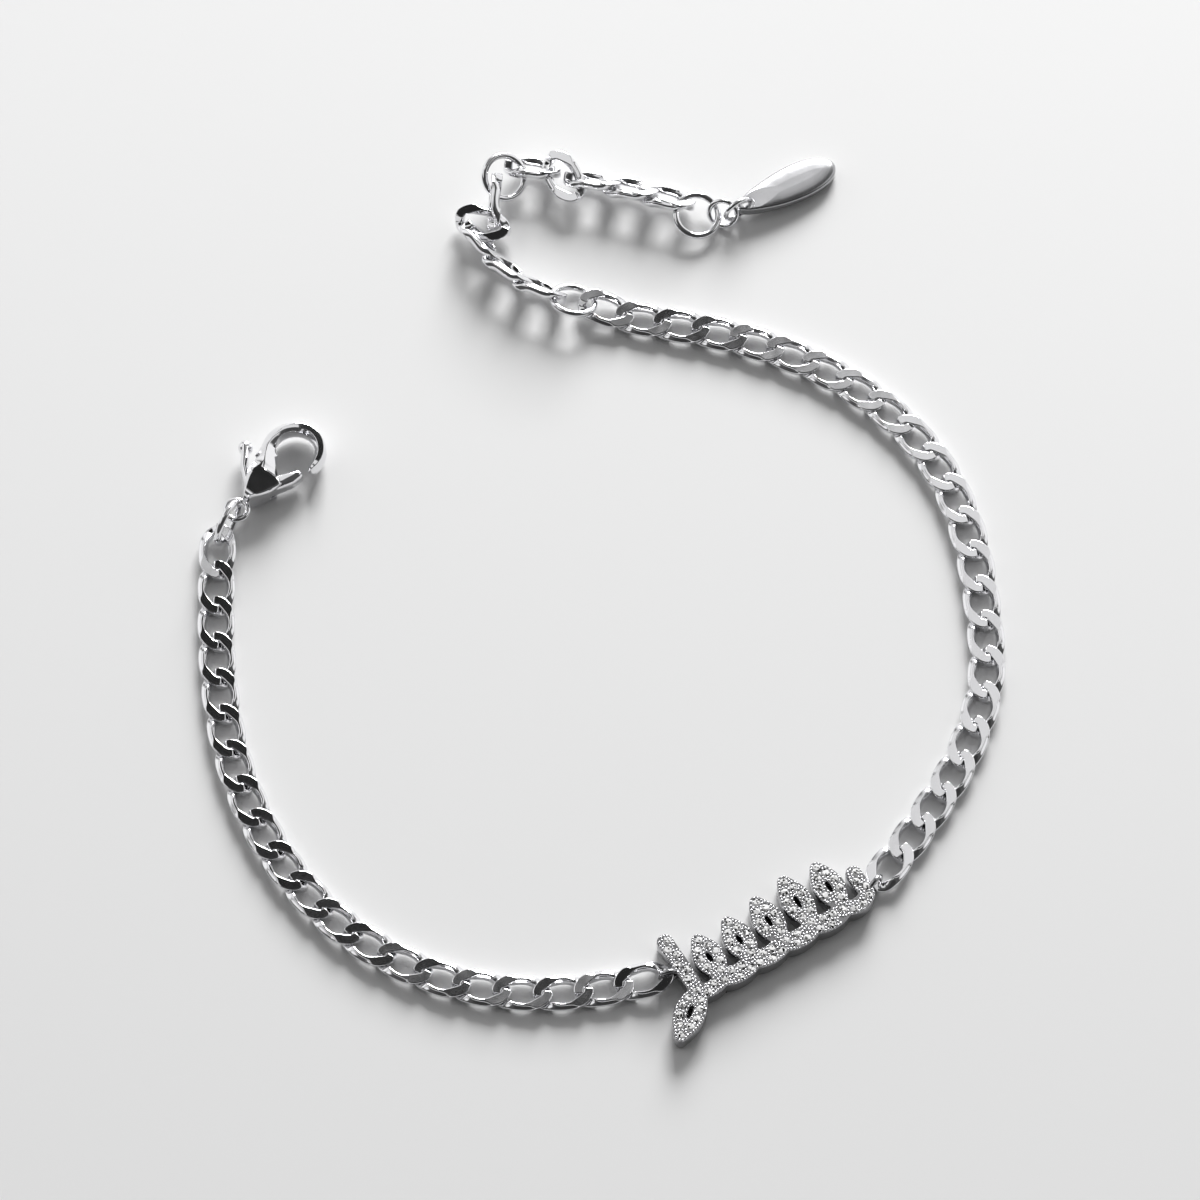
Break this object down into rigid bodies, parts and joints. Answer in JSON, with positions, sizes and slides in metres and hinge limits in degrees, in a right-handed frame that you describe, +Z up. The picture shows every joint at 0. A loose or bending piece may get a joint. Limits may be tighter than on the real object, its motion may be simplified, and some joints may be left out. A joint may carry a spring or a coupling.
{
  "type": "nameplate bracelet",
  "caption": "Curb-chain bracelet laid open, with a pierced pave plate between its chains, a lobster clasp and an extender that ends in a drop-shaped tag.",
  "frame": {"origin": "middle of the bracelet's box in plan, on the surface that it lies on", "axes": "+Z up from the surface, +Y from the nameplate towards the extender, +X from the left chain with the clasp towards the right chain"},
  "size_m": [0.0644, 0.0794, 0.0041],
  "materials": {
    "plated_silver": "polished rhodium-like plating",
    "stones": "clear faceted stones"
  },
  "bodies": {
    "bracelet": {"claw_body": "plated_silver", "clasp_ring": "plated_silver", "left_chain": "plated_silver", "nameplate": "plated_silver", "pave_stones": "stones", "right_chain": "plated_silver", "chain_end_ring": "plated_silver", "extender_chain_a": "plated_silver", "extender_mid_ring": "plated_silver", "extender_chain_b": "plated_silver", "extender_end_ring": "plated_silver", "tag_link_ring": "plated_silver", "tag_ring": "plated_silver", "tag": "plated_silver"},
    "lever": {"claw_lever": "plated_silver"}
  },
  "joints": [
    {"name": "lever_hinge", "type": "hinge", "parent": "bracelet", "child": "lever", "pos_m": [-0.02763, 0.00854, 0.0013], "axis": [0, 0, 1], "range_deg": [0, 30], "stiffness_Nm_per_rad": 0.0005}
  ]
}
